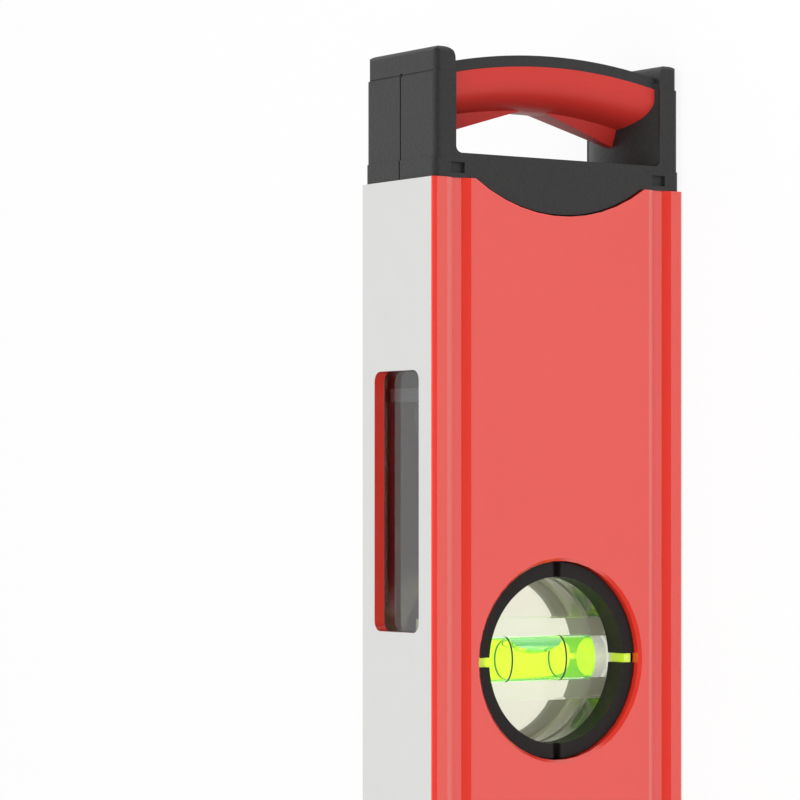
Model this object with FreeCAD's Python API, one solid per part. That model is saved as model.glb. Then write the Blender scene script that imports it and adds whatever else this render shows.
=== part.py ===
import FreeCAD, Part
import math
import os
from FreeCAD import Vector

# Box-section spirit level with an electronic display, lying in its position of use.
# X runs along the level, Y across its thickness, Z up. The origin is the centre of the
# lower milled edge, which is the measuring face. All sizes are in millimetres.

# Box section
profile_length = 550.0
profile_height = 60.0
profile_thickness = 24.2
edge_wall = 2.3
side_wall = 2.25
inner_corner = 0.6
corner_rise = 1.4
corner_depth = 0.8
land_width = 3.2
groove_slope = 1.8
groove_floor = 1.9
groove_depth = 0.75
scoop_radius = 36.0
scoop_depth = 6.2

# End caps with their carrying handle
cap_height = 24.6
cap_inset_edge = 0.9
cap_inset_face = 0.5
cap_upright_radius = 1.2
cap_top_radius = 1.8
cap_foot_height = 3.8
cap_foot_step = 0.25
cap_parting = 19.8
cap_parting_step = 0.2
tower_width = 4.7
tower_inner_radius = 2.3
tower_swell = 3.4
tower_swell_setback = 0.6
tower_swell_top = 21.0
bridge_height = 4.7
bridge_fillet = 1.3
handle_crown = 24.4
handle_arch_radius = 120.0
handle_band = 2.1
handle_setback = 1.3
tongue_gap = 0.35
plug_depth = 15.0
plug_clearance = 0.15
plug_wall = 1.8
seam_width = 0.35
seam_depth = 0.2
pit_radius = 0.45
pit_depth = 0.6
dimple_width = 3.2
dimple_height = 2.0
dimple_depth = 0.7
dimple_lift = 0.9

# Soft grip under the handle
grip_setback = 1.2
grip_centre = 20.6
grip_drop = 6.2
grip_spread = 14.0
keel_thickness = 10.0
keel_edge = 1.6
keel_crown = 14.6
keel_crown_width = 6.0
keel_foot = 9.0
keel_foot_inset = 3.0
grip_seat = 0.02

# Plumb vials in round holes
plumb_distance = 90.9
plumb_radius = 19.0
plumb_chamfer = 0.6
ring_clearance = 0.25
ring_bore = 15.95
ring_recess = 1.6
ring_depth = 4.5
ring_slot = 1.8
ring_notch_depth = 1.6
tab_height = 4.2
tab_skin = 0.5
body_radius = 18.6
body_rim = 2.0
body_web = 2.4
body_play = 0.05
block_length = 41.0
block_width = 15.7
vial_radius = 4.4
vial_length = 33.0
vial_play = 0.08
mark_spacing = 13.0
mark_width = 0.4
mark_thickness = 0.06
bubble_length = 11.4
bubble_radius = 1.7
bubble_rise = 2.5
bubble_chamfer = 0.8
plug_length = 5.0
plug_radius = 4.1
plug_seat = 0.05

# Edge window with the mirror for the second view
window_length = 49.3
window_start = 35.9
window_width = 14.7
window_radius = 1.9
pane_thickness = 1.5
pane_overlap = 1.6
pane_seat = 0.05
mirror_start = 43.5
mirror_reach = 25.5
mirror_near_edge = 9.5
mirror_width = 10.6
mirror_thickness = 1.2
hood_wall = 1.2
hood_back = 1.6
hood_seat = 0.05
hood_shelf = 1.0
hood_cheek = 8.0
hanger_offset = 2.0
hanger_thickness = 2.4
hanger_drop = 2.5

# Horizontal vial in the upper edge
level_centre = -88.0
notch_width = 58.0
notch_depth = 27.0
notch_radius = 3.0
holder_clearance = 0.2
holder_wall = 4.0
holder_floor = 4.0
holder_recess = 0.4
level_block_height = 21.4
level_block_depth = 17.0
level_vial_length = 38.0
block_clearance = 0.1

# Electronic module
module_centre = 32.0
module_length = 116.0
module_height = 38.0
module_radius = 5.0
module_flange = 3.0
module_proud = 0.9
module_clearance = 0.2
module_wall = 1.6
module_split = -1.6
split_gap = 0.05
boss_radius = 3.0
screw_radius = 1.25
screw_fit = 0.05
screw_hole_play = 0.15
screw_head_radius = 2.4
screw_head_height = 1.6
screw_length = 17.0
screw_chamfer = 0.5
screw_cross = 1.4
screw_cross_width = 0.6
screw_cross_depth = 0.7
screw_sink = 0.3
screw_inset = 4.2
post_radius = 1.2
post_inset = 3.8
post_spread = 24.0
post_left_share = 0.8
post_right_share = 1.18
lens_length = 54.0
lens_height = 25.0
lens_thickness = 1.2
lens_clearance = 0.1
lens_offset = -21.0
lens_ledge = 2.5
board_thickness = 1.2
board_depth = 6.6
board_clearance = 0.6
panel_length = 50.0
panel_height = 22.0
panel_thickness = 2.6
panel_seat = 0.05
sensor_size = 7.0
sensor_height = 1.6
board_end_inset = 14.0
buzzer_radius = 5.0
buzzer_height = 2.4
switch_size = 5.2
switch_height = 1.7

# Push buttons
button_length = 12.5
button_height = 8.5
button_radius = 2.5
button_clearance = 0.2
button_proud = 0.7
button_chamfer = 0.4
button_travel = 0.8
button_lip = 1.0
button_lip_thickness = 0.9
button_seat = 0.05
button_post_radius = 1.6
button_pitch_x = 18.0
button_pitch_z = 14.0
button_offset = 27.0

# Battery compartment behind its hinged door
cell_radius = 5.25
cell_length = 44.5
cell_chamfer = 0.4
cell_nub_radius = 1.9
cell_nub_length = 0.8
cell_gap = 0.6
cell_play = 0.25
bay_offset = 0.0
bay_length = 54.0
bay_floor = 1.0
contact_thickness = 0.4
contact_height = 8.0
contact_width = 7.0
contact_gap = 0.05
contact_seat = 0.02
spring_radius = 2.8
spring_taper = 0.8
spring_wire = 0.8
spring_turns = 3
door_lap = 1.0
door_lap_top = 1.7
door_hinge_drop = 0.45
door_thickness = 1.5
door_gap = 0.3
door_seat = 0.15
door_knuckle = 1.25
door_pin_radius = 0.8
door_pin_length = 2.0
door_pin_play = 0.06
door_notch_radius = 4.0
door_chamfer = 0.4
door_rib_depth = 0.35
door_rib_pitch = 1.6
door_rib_length = 14.0
door_rib_count = 5

half_length = profile_length / 2
half_thickness = profile_thickness / 2
middle_z = profile_height / 2
along_x = Vector(1, 0, 0)
along_y = Vector(0, 1, 0)
along_z = Vector(0, 0, 1)


def on_x(x):
    """Places plane coordinates (y, z) at one x."""
    return lambda y, z: Vector(x, y, z)


def on_y(y):
    """Places plane coordinates (x, z) at one y."""
    return lambda x, z: Vector(x, y, z)


def on_z(z):
    """Places plane coordinates (x, y) at one z."""
    return lambda x, y: Vector(x, y, z)


def box(x, y, z):
    """A block between two limits on each axis."""
    corner = Vector(min(x), min(y), min(z))
    return Part.makeBox(max(x) - min(x), max(y) - min(y), max(z) - min(z), corner)


def rounded_wire(place, a, b, radius):
    """A rectangle between two limits on each plane axis, with four corner arcs."""
    a0, a1 = min(a), max(a)
    b0, b1 = min(b), max(b)
    centres = ((a1 - radius, b0 + radius, -90), (a1 - radius, b1 - radius, 0),
               (a0 + radius, b1 - radius, 90), (a0 + radius, b0 + radius, 180))
    arcs = []
    for ca, cb, start in centres:
        points = []
        for turn in (start, start + 45, start + 90):
            angle = math.radians(turn)
            points.append(place(ca + radius * math.cos(angle), cb + radius * math.sin(angle)))
        arcs.append(Part.Arc(*points))
    edges = []
    for index, arc in enumerate(arcs):
        edges.append(arc.toShape())
        end = arc.EndPoint
        start = arcs[(index + 1) % 4].StartPoint
        if end.distanceToPoint(start) > 1e-6:
            edges.append(Part.LineSegment(end, start).toShape())
    return Part.Wire(edges)


def rounded_block(place, a, b, radius, travel):
    """A prism on a rounded rectangle."""
    return Part.Face(rounded_wire(place, a, b, radius)).extrude(travel)


def polygon_block(points, travel):
    """A prism on a closed polygon."""
    return Part.Face(Part.makePolygon(points + points[:1])).extrude(travel)


def rod(radius, start, end):
    """A round bar between two points."""
    return Part.makeCylinder(radius, start.distanceToPoint(end), start, end - start)


def mirrored(shape):
    """The same shape at the other end of the level."""
    return shape.mirror(Vector(0, 0, 0), along_x)


def joined(first, *others):
    """One solid from several that touch, with its flat faces merged."""
    return first.fuse(list(others)).removeSplitter()


def section_wire(x, inset_edge, inset_side, rise, depth):
    """The outline of the box section, with two stepped grooves down each broad side.

    The corners are arcs, rise high and depth deep. Insets move the edges and the sides
    inwards, so that the same function draws the cavity and the plug that fits it.
    """
    steps = (land_width, land_width + groove_slope,
             land_width + groove_slope + groove_floor,
             land_width + 2 * groove_slope + groove_floor)
    low = inset_edge
    high = profile_height - inset_edge
    face = half_thickness - inset_side
    floor = face - groove_depth
    side = [(face, low + rise), (face, steps[0]), (floor, steps[1]), (floor, steps[2]), (face, steps[3])]
    side += [(y, profile_height - z) for y, z in reversed(side)]
    bulge = 1 - math.sqrt(0.5)
    edges = []
    for sign in (1, -1):
        walk = [Vector(x, sign * y, z if sign > 0 else profile_height - z) for y, z in side]
        if sign < 0:
            walk = [Vector(x, -y, profile_height - z) for y, z in side]
        for start, end in zip(walk, walk[1:]):
            edges.append(Part.LineSegment(start, end).toShape())
        top = high if sign > 0 else low
        inward = -1 if sign > 0 else 1
        corner_end = Vector(x, sign * (face - depth), top)
        middle = Vector(x, sign * (face - bulge * depth), top + inward * bulge * rise)
        edges.append(Part.Arc(walk[-1], middle, corner_end).toShape())
        next_corner = Vector(x, -sign * (face - depth), top)
        edges.append(Part.LineSegment(corner_end, next_corner).toShape())
        middle = Vector(x, -sign * (face - bulge * depth), top + inward * bulge * rise)
        last = Vector(x, -sign * face, top + inward * rise)
        edges.append(Part.Arc(next_corner, middle, last).toShape())
    return Part.Wire(Part.__sortEdges__(edges))


def scoop(radius, reach):
    """The round of plastic that dips into the broad walls at the right end."""
    centre_x = half_length + scoop_radius - scoop_depth
    start = Vector(centre_x, -reach, middle_z)
    return rod(radius, start, Vector(centre_x, reach, middle_z))


def make_profile():
    """The extruded, coated and edge-milled aluminium box with all its cut-outs."""
    outer = Part.Face(section_wire(-half_length, 0.0, 0.0, corner_rise, corner_depth))
    inner = Part.Face(section_wire(-half_length, edge_wall, side_wall, inner_corner, inner_corner))
    body = outer.extrude(along_x * profile_length).cut(inner.extrude(along_x * profile_length))
    cuts = [scoop(scoop_radius, profile_thickness), mirrored(scoop(scoop_radius, profile_thickness))]
    for x in (plumb_x, -plumb_x):
        cuts.append(rod(plumb_radius, Vector(x, -profile_thickness, middle_z),
                        Vector(x, profile_thickness, middle_z)))
        for sign in (1, -1):
            mouth = Vector(x, sign * (half_thickness + 0.01), middle_z)
            cuts.append(Part.makeCone(plumb_radius + plumb_chamfer, plumb_radius, plumb_chamfer, mouth,
                                      along_y * -sign))
    cuts.append(rounded_block(on_z(profile_height - 2 * edge_wall), window_x,
                              (-window_width / 2, window_width / 2),
                              window_radius, along_z * 4 * edge_wall))
    cuts.append(rounded_block(on_y(-profile_thickness), module_cut_x, module_cut_z,
                              module_radius - module_flange,
                              along_y * 2 * profile_thickness))
    notch = rounded_block(on_y(-profile_thickness), notch_x, (notch_z, profile_height + 2 * notch_radius),
                          notch_radius, along_y * 2 * profile_thickness)
    cuts.append(notch)
    return body.cut(cuts)


def arch(offset):
    """A large cylinder across the level whose top is the arched back of the handle."""
    radius = handle_arch_radius - offset
    centre_x = half_length + handle_crown - handle_arch_radius
    return rod(radius, Vector(centre_x, -profile_thickness, middle_z),
               Vector(centre_x, profile_thickness, middle_z))


def make_end_cap():
    """The black moulded cap at the right end: plug, tongues, bridge, towers and handle back."""
    face = half_thickness - cap_inset_face
    low = cap_inset_edge
    high = profile_height - cap_inset_edge
    top = half_length + cap_height
    side = rounded_block(on_y(-profile_thickness), (half_length - cap_top_radius, top), (low, high),
                         cap_top_radius, along_y * 2 * profile_thickness)
    step_x = half_length + cap_parting
    plan = rounded_block(on_x(half_length), (-face, face), (low, high), cap_upright_radius,
                         along_x * cap_parting)
    crown = rounded_block(on_x(step_x), (-face + cap_parting_step, face - cap_parting_step),
                          (low + cap_parting_step, high - cap_parting_step), cap_upright_radius,
                          along_x * (cap_height - cap_parting))
    front = rounded_block(on_z(0.0), (half_length - cap_top_radius, top), (-face, face),
                          cap_top_radius, along_z * profile_height)
    block = joined(plan, crown).common(side).common(front)
    inner = (low + tower_width, high - tower_width)
    opening = rounded_block(on_y(-profile_thickness),
                            (half_length + bridge_height, top + 4 * tower_inner_radius),
                            inner, bridge_fillet, along_y * 2 * profile_thickness)
    shoulders = []
    for z, sign in ((inner[0], -1), (inner[1], 1)):
        corner = box((top - tower_inner_radius, top + 1), (-profile_thickness, profile_thickness),
                     (z, z + sign * tower_inner_radius))
        centre = Vector(top - tower_inner_radius, -profile_thickness, z + sign * tower_inner_radius)
        shoulders.append(corner.cut(rod(tower_inner_radius, centre,
                                        centre + along_y * 2 * profile_thickness)))
    towers = block.cut(opening).cut(shoulders)
    band_y = (-face + handle_setback, face - handle_setback)
    band = box((half_length + bridge_height, top), band_y, (inner[0] - 1.0, inner[1] + 1.0))
    band = band.common(arch(0.0)).cut(arch(handle_band))
    foot = rounded_block(on_x(half_length), (-face, face), (low - cap_foot_step, high + cap_foot_step),
                         cap_upright_radius, along_x * cap_foot_height)
    cavity = (edge_wall + plug_clearance, side_wall + plug_clearance)
    plug = Part.Face(section_wire(half_length - plug_depth, cavity[0], cavity[1], inner_corner, inner_corner))
    plug = plug.extrude(along_x * plug_depth)
    plug_y = half_thickness - cavity[1] - groove_depth - plug_wall
    plug_z = (cavity[0] + plug_wall, profile_height - cavity[0] - plug_wall)
    hollow = rounded_block(on_x(half_length - plug_depth), (-plug_y, plug_y), plug_z, plug_wall / 2,
                           along_x * (plug_depth - plug_wall))
    tongue = scoop(scoop_radius - tongue_gap, face).common(
        box((half_length - scoop_depth, half_length), (-face, face), (0, profile_height)))
    tongue = tongue.cut(box((0, half_length), (-plug_y, plug_y), (0, profile_height)))
    cap = joined(towers, band, foot, plug, tongue, *tower_swells(0.0)).cut(hollow)
    marks = []
    for z, sign in ((low, 1), (high, -1)):
        groove_z = (z - sign, z + sign * (cap_parting_step + seam_depth))
        marks.append(box((step_x - seam_width / 2, step_x + seam_width / 2), (-face, face), groove_z))
        marks.append(rod(pit_radius, Vector(step_x, 0, z - sign), Vector(step_x, 0, z + sign * pit_depth)))
    for z in (low - cap_foot_step, high + cap_foot_step):
        marks.append(box((half_length, step_x), (-seam_width / 2, seam_width / 2),
                         (z - seam_depth - cap_foot_step, z + seam_depth + cap_foot_step)))
    groove_middle = land_width + groove_slope + groove_floor / 2
    lift_x = half_length + dimple_lift
    for z in (groove_middle, profile_height - groove_middle):
        for sign in (1, -1):
            marks.append(box((lift_x, lift_x + dimple_height),
                             (sign * (face - dimple_depth), sign * (face + 1)),
                             (z - dimple_width / 2, z + dimple_width / 2)))
    return cap.cut(marks)


def tower_swells(seat):
    """The towers' inner sides, which swell to a round towards the middle of their thickness."""
    reach = half_thickness - cap_inset_face - tower_swell_setback
    radius = (reach ** 2 + tower_swell ** 2) / (2 * tower_swell)
    x = (half_length + bridge_height - seam_depth, half_length + tower_swell_top)
    swells = []
    for wall, sign in ((cap_inset_edge + tower_width, 1),
                       (profile_height - cap_inset_edge - tower_width, -1)):
        centre_z = wall + sign * (tower_swell - radius)
        round_bar = rod(radius + seat, Vector(x[0], 0, centre_z), Vector(x[1], 0, centre_z))
        limits = (wall - sign * seam_depth, wall + sign * (tower_swell + 1))
        swells.append(round_bar.common(box(x, (-reach, reach), limits)))
    return swells


def make_grip():
    """The soft red lining under the handle back: a half-round bar, bent to the arch, with a keel.

    The keel is an upturned V from tower to tower, and its sides slope to a narrow edge.
    """
    half_width = half_thickness - cap_inset_face - grip_setback
    z = (cap_inset_edge + tower_width + grip_seat, profile_height - cap_inset_edge - tower_width - grip_seat)
    centre_x = half_length + grip_centre
    ellipse = Part.Ellipse(Vector(centre_x, half_width, middle_z), Vector(centre_x - grip_drop, 0, middle_z),
                           Vector(centre_x, 0, middle_z))
    section = Part.Face(Part.Wire([ellipse.toShape()]))
    arch_centre = Vector(half_length + handle_crown - handle_arch_radius, 0, middle_z)
    section.rotate(arch_centre, along_y, -grip_spread)
    bar = section.revolve(arch_centre, along_y, 2 * grip_spread)
    span = box((half_length, half_length + cap_height), (-half_width, half_width), z)
    centre_arch = arch(handle_crown - grip_centre)
    lower = bar.common([centre_arch]).common(span)
    upper = span.common(arch(handle_band + grip_seat)).cut(centre_arch)
    crown = (middle_z - keel_crown_width / 2, middle_z + keel_crown_width / 2)
    foot = (z[0] + keel_foot_inset, z[1] - keel_foot_inset)
    foot_x = half_length + keel_foot
    outline = [(centre_x, z[0]), (foot_x, z[0]), (foot_x, foot[0]), (half_length + keel_crown, crown[0]),
               (half_length + keel_crown, crown[1]), (foot_x, foot[1]), (foot_x, z[1]), (centre_x, z[1])]
    keel = polygon_block([Vector(x, -keel_thickness / 2, height) for x, height in outline],
                         along_y * keel_thickness)
    taper = [(centre_x, -keel_thickness / 2), (foot_x, -keel_edge / 2), (foot_x, keel_edge / 2),
             (centre_x, keel_thickness / 2)]
    keel = keel.common(polygon_block([Vector(x, y, z[0]) for x, y in taper], along_z * (z[1] - z[0])))
    whole = joined(lower, upper, keel).common(arch(handle_band + grip_seat))
    return whole.cut(tower_swells(grip_seat))


def vial_axis(centre, direction, distance):
    """The point on a vial's axis at a distance from its middle."""
    return centre + direction * distance


def barrel(centre, direction, radius, length):
    """A round bar with its middle at a point."""
    start = vial_axis(centre, direction, -length / 2)
    return rod(radius, start, vial_axis(centre, direction, length / 2))


def make_vial(centre, direction, upward, block, length, reach):
    """One vial: the clear block bored for it, the liquid with its bubble, marks and plug.

    The bore is closed at one end and stopped by the plug at the other. The bubble is a void
    in the liquid, against the upper side of the bore.
    """
    stop = vial_axis(centre, direction, length / 2)
    mouth = vial_axis(centre, direction, reach)
    bore = barrel(centre, direction, vial_radius, length)
    neck = rod(plug_radius, vial_axis(centre, direction, length / 2 - 0.01), mouth + direction)
    clear = block.cut([bore, neck])
    liquid = barrel(centre, direction, vial_radius - vial_play, length - 2 * vial_play)
    hollow = barrel(centre + upward * bubble_rise, direction, bubble_radius, bubble_length)
    edges = [edge for edge in hollow.Edges if edge.Curve.TypeId == "Part::GeomCircle"]
    hollow = hollow.makeChamfer(bubble_chamfer, edges)
    liquid = liquid.cut(hollow)
    marks = []
    for sign in (1, -1):
        middle = vial_axis(centre, direction, sign * mark_spacing / 2)
        outer = barrel(middle, direction, vial_radius - 0.005, mark_width)
        marks.append(outer.cut(barrel(middle, direction, vial_radius - mark_thickness, mark_width * 2)))
    start = stop + direction * plug_seat
    plug = rod(plug_radius - plug_seat, start, start + direction * plug_length)
    return clear, liquid, Part.makeCompound(marks), plug


def make_ring(x, side):
    """The black retaining ring on one side of a plumb vial, with four slots."""
    outer_y = side * (half_thickness - ring_recess)
    inner_y = outer_y - side * ring_depth
    outer = rod(plumb_radius - ring_clearance, Vector(x, outer_y, middle_z), Vector(x, inner_y, middle_z))
    cuts = [rod(ring_bore, Vector(x, outer_y + side, middle_z), Vector(x, inner_y - side, middle_z))]
    half = ring_slot / 2
    reach = plumb_radius + 1
    cuts.append(box((x - half, x + half), (outer_y + side, outer_y - side * ring_notch_depth),
                    (middle_z - reach, middle_z + reach)))
    cuts.append(box((x - reach, x + reach), (outer_y + side, outer_y - side * ring_notch_depth),
                    (middle_z - half, middle_z + half)))
    skin = plumb_radius - ring_clearance - tab_skin
    cuts.append(box((x - half, x + half), (outer_y + side, inner_y - side),
                    (middle_z - skin, middle_z + skin)))
    return outer.cut(cuts)


def make_plumb_body(x):
    """The clear moulding of a plumb vial: a rimmed disc with the vial block across it."""
    deep = half_thickness - ring_recess - ring_depth - body_play
    start = Vector(x, -deep, middle_z)
    end = Vector(x, deep, middle_z)
    rim = rod(body_radius, start, end).cut(rod(body_radius - body_rim, start - along_y, end + along_y))
    web = rod(body_radius, Vector(x, -body_web / 2, middle_z), Vector(x, body_web / 2, middle_z))
    block = box((x - block_width / 2, x + block_width / 2), (-deep, deep),
                (middle_z - block_length / 2, middle_z + block_length / 2))
    tabs = []
    half = ring_slot / 2 - body_play
    for y in (deep, -deep):
        for z in (1, -1):
            inner = middle_z + z * (ring_bore + 0.6)
            outer = middle_z + z * (plumb_radius - ring_clearance - tab_skin - body_play)
            tip = y + math.copysign(tab_height, y)
            tabs.append(box((x - half, x + half), (y - math.copysign(0.5, y), tip), (inner, outer)))
    return joined(rim, web, block, *tabs)


def make_pane():
    """The clear pane behind the edge window."""
    top = profile_height - edge_wall - pane_seat
    return rounded_block(on_z(top - pane_thickness), (window_x[0] - pane_overlap, window_x[1] + pane_overlap),
                         (-window_width / 2 - pane_overlap, window_width / 2 + pane_overlap),
                         window_radius, along_z * pane_thickness)


def mirror_slab(front, back, margin, y):
    """A slab along the mirror's slope, from front to back of its reflecting face."""
    high = profile_height - mirror_near_edge
    start_x = half_length - mirror_start
    end_x = start_x - mirror_reach
    slope = Vector(-1, 0, -1).normalize()
    inward = Vector(1, 0, -1).normalize()
    near = Vector(start_x, y[0], high) - slope * margin
    far = Vector(end_x, y[0], high - mirror_reach) + slope * margin
    corners = [near + inward * front, far + inward * front, far + inward * back, near + inward * back]
    return polygon_block(corners, along_y * (y[1] - y[0]))


def make_mirror():
    """The small slanted mirror that shows the plumb vial through the edge window."""
    return mirror_slab(0.0, mirror_thickness, 0.0, (-mirror_width / 2, mirror_width / 2))


def make_hood():
    """The black bracket that carries the mirror between the plumb vial and the edge window."""
    half = mirror_width / 2 + hood_seat
    outer = half + hood_wall
    slab_front = mirror_thickness + hood_seat
    back = mirror_slab(slab_front, slab_front + hood_back, hood_wall, (-outer, outer))
    high = profile_height - mirror_near_edge
    low = high - mirror_reach - hood_shelf
    start_x = half_length - mirror_start
    end_x = start_x - mirror_reach
    foot_x = plumb_x + plumb_radius - ring_clearance + hood_seat
    outline = [(start_x + hood_shelf, high), (end_x, low), (foot_x, low), (foot_x, low + hood_cheek),
               (end_x, low + hood_cheek), (start_x - mirror_reach / 8, high)]
    cheeks = []
    for y in (half, -outer):
        cheeks.append(polygon_block([Vector(x, y, z) for x, z in outline], along_y * hood_wall))
    shelf = box((end_x + hood_back, foot_x), (-outer, outer), (low - hood_back, low))
    hanger_z = profile_height - edge_wall - pane_seat - pane_thickness - hood_seat
    hanger_x = start_x + hanger_offset
    hanger = box((hanger_x, hanger_x + hanger_thickness), (-outer, outer), (high - hanger_drop, hanger_z))
    return joined(back, *cheeks, shelf, hanger)


def make_holder():
    """The black frame that fills the notch in the upper edge and holds the level vial."""
    x = (notch_x[0] + holder_clearance, notch_x[1] - holder_clearance)
    y = half_thickness - holder_recess
    low = notch_z + holder_clearance
    body = rounded_block(on_y(-y), x, (low, profile_height + 2 * notch_radius), notch_radius, along_y * 2 * y)
    body = body.cut(box((x[0] - 1, x[1] + 1), (-2 * y, 2 * y),
                        (profile_height - holder_recess, profile_height + 20)))
    half_block = level_block_depth / 2 + block_clearance
    inside_x = (x[0] + holder_wall, x[1] - holder_wall)
    block_low = low + holder_floor
    pocket = box(inside_x, (-half_block, half_block), (block_low, profile_height + 1))
    sight = rounded_block(on_y(-2 * y), (inside_x[0] + 2, inside_x[1] - 2),
                          (block_low + 2.2, block_low + level_block_height - 2.2), 2.0, along_y * 4 * y)
    return body.cut([pocket, sight])


def module_hole_points():
    """The centres of the four screws that draw the module's halves together."""
    for x in (module_cut_x[0] + screw_inset, module_cut_x[1] - screw_inset):
        for z in (module_cut_z[0] + screw_inset, module_cut_z[1] - screw_inset):
            yield x, z


def button_places():
    """The centres of the four buttons, row by row from the upper left."""
    for row in (0.5, -0.5):
        for column in (-0.5, 0.5):
            x = module_centre + button_offset + column * button_pitch_x
            yield x, middle_z + row * button_pitch_z


def flange_plate(side):
    """The proud rim of one module half, lying on the broad face."""
    outer_x = (module_centre - module_length / 2, module_centre + module_length / 2)
    outer_z = (middle_z - module_height / 2, middle_z + module_height / 2)
    plate = rounded_block(on_y(side * half_thickness), outer_x, outer_z, module_radius,
                          along_y * side * module_proud)
    outside = side * (half_thickness + module_proud)
    rim = [edge for edge in plate.Edges if abs(edge.CenterOfMass.y - outside) < 0.01]
    return plate.makeChamfer(module_proud * 0.6, rim)


def make_module_front():
    """The display half of the module: bezel, well for the lens, button holes and bosses."""
    play = module_clearance
    tub_x = (module_cut_x[0] + play, module_cut_x[1] - play)
    tub_z = (module_cut_z[0] + play, module_cut_z[1] - play)
    face_y = -half_thickness - module_proud
    radius = module_radius - module_flange
    tub = rounded_block(on_y(-half_thickness - 0.2), tub_x, tub_z, radius,
                        along_y * (half_thickness + 0.2 + module_split))
    body = joined(flange_plate(-1), tub)
    room_x = (tub_x[0] + module_wall, tub_x[1] - module_wall)
    room_z = (tub_z[0] + module_wall, tub_z[1] - module_wall)
    room = box(room_x, (face_y + module_wall, 2 * half_thickness), room_z)
    bosses = []
    for x, z in module_hole_points():
        bosses.append(rod(boss_radius, Vector(x, face_y + module_wall / 2, z), Vector(x, module_split, z)))
    body = joined(body.cut(room), *bosses, *board_posts())
    cuts = [lens_well(lens_clearance, lens_thickness)]
    cuts.append(lens_window())
    for x, z in button_places():
        half = button_length / 2 + button_clearance
        tall = button_height / 2 + button_clearance
        cuts.append(rounded_block(on_y(face_y - 1), (x - half, x + half), (z - tall, z + tall),
                                  button_radius + button_clearance, along_y * (module_wall + 2)))
    deep = face_y + module_wall
    for x, z in module_hole_points():
        cuts.append(rod(screw_radius + screw_fit, Vector(x, deep + 1, z), Vector(x, module_split + 1, z)))
    return body.cut(cuts)


def lens_well(clearance, depth):
    """The block that the display lens takes up in the bezel."""
    x = module_centre + lens_offset
    face_y = -half_thickness - module_proud
    return rounded_block(on_y(face_y), (x - lens_length / 2 - clearance, x + lens_length / 2 + clearance),
                         (middle_z - lens_height / 2 - clearance, middle_z + lens_height / 2 + clearance),
                         2.0, along_y * depth)


def lens_window():
    """The opening in the bezel behind the lens."""
    x = module_centre + lens_offset
    half = lens_length / 2 - lens_ledge
    tall = lens_height / 2 - lens_ledge
    return rounded_block(on_y(-half_thickness - module_proud - 1), (x - half, x + half),
                         (middle_z - tall, middle_z + tall), 1.0, along_y * (module_wall + 3))


def make_module_rear():
    """The battery half of the module: rim, cell bay, screw columns and door hinge seats."""
    play = module_clearance
    tub_x = (module_cut_x[0] + play, module_cut_x[1] - play)
    tub_z = (module_cut_z[0] + play, module_cut_z[1] - play)
    face_y = half_thickness + module_proud
    front_y = module_split + split_gap
    tub = rounded_block(on_y(front_y), tub_x, tub_z, module_radius - module_flange,
                        along_y * (half_thickness + 0.2 - front_y))
    body = joined(flange_plate(1), tub)
    cuts = [box(bay_x, (front_y + bay_floor, face_y + 1), bay_z)]
    for x0, x1 in ((tub_x[0] + module_wall, bay_x[0] - module_wall),
                   (bay_x[1] + module_wall, tub_x[1] - module_wall)):
        cuts.append(box((x0, x1), (front_y - 1, face_y - module_wall),
                        (tub_z[0] + module_wall, tub_z[1] - module_wall)))
    cuts.append(box(door_x_hole, (face_y - door_thickness - door_seat, face_y + 1), door_z_hole))
    knuckle = door_knuckle + door_gap
    cuts.append(box(door_x_hole, (hinge_y - knuckle, face_y + 1), (hinge_z - knuckle, hinge_z + knuckle)))
    for x, sign in ((door_x[0], -1), (door_x[1], 1)):
        end = Vector(x + sign * (door_pin_length + door_gap), hinge_y, hinge_z)
        cuts.append(rod(door_pin_radius + door_pin_play, Vector(x, hinge_y, hinge_z), end))
    pull = Vector(module_centre + bay_offset, face_y + 1, door_z_hole[1])
    cuts.append(Part.makeCone(door_notch_radius + 1, door_notch_radius - 1, 2.0, pull, along_y * -1))
    body = body.cut(cuts)
    columns = []
    for x, z in module_hole_points():
        columns.append(rod(boss_radius, Vector(x, front_y, z), Vector(x, face_y - module_wall / 2, z)))
    body = joined(body, *columns)
    holes = []
    for x, z in module_hole_points():
        holes.append(rod(screw_radius + screw_hole_play, Vector(x, front_y - 1, z), Vector(x, face_y + 1, z)))
        holes.append(rod(screw_head_radius + screw_hole_play,
                         Vector(x, face_y - screw_head_height - screw_sink, z),
                         Vector(x, face_y + 1, z)))
    return body.cut(holes)


def make_screws():
    """Four pan-head screws from the back, in their counterbores."""
    seat_y = half_thickness + module_proud - screw_head_height - screw_sink
    screws = []
    for x, z in module_hole_points():
        head = rod(screw_head_radius, Vector(x, seat_y, z), Vector(x, seat_y + screw_head_height, z))
        edges = [edge for edge in head.Edges if abs(edge.CenterOfMass.y - seat_y - screw_head_height) < 0.01]
        head = head.makeChamfer(screw_chamfer, edges)
        shank = rod(screw_radius, Vector(x, seat_y + 0.01, z), Vector(x, seat_y - screw_length, z))
        slot_y = (seat_y + screw_head_height - screw_cross_depth, seat_y + screw_head_height + 1)
        half = screw_cross_width / 2
        cross = [box((x - screw_cross, x + screw_cross), slot_y, (z - half, z + half)),
                 box((x - half, x + half), slot_y, (z - screw_cross, z + screw_cross))]
        screws.append(joined(head, shank).cut(cross))
    return Part.makeCompound(screws)


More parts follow.
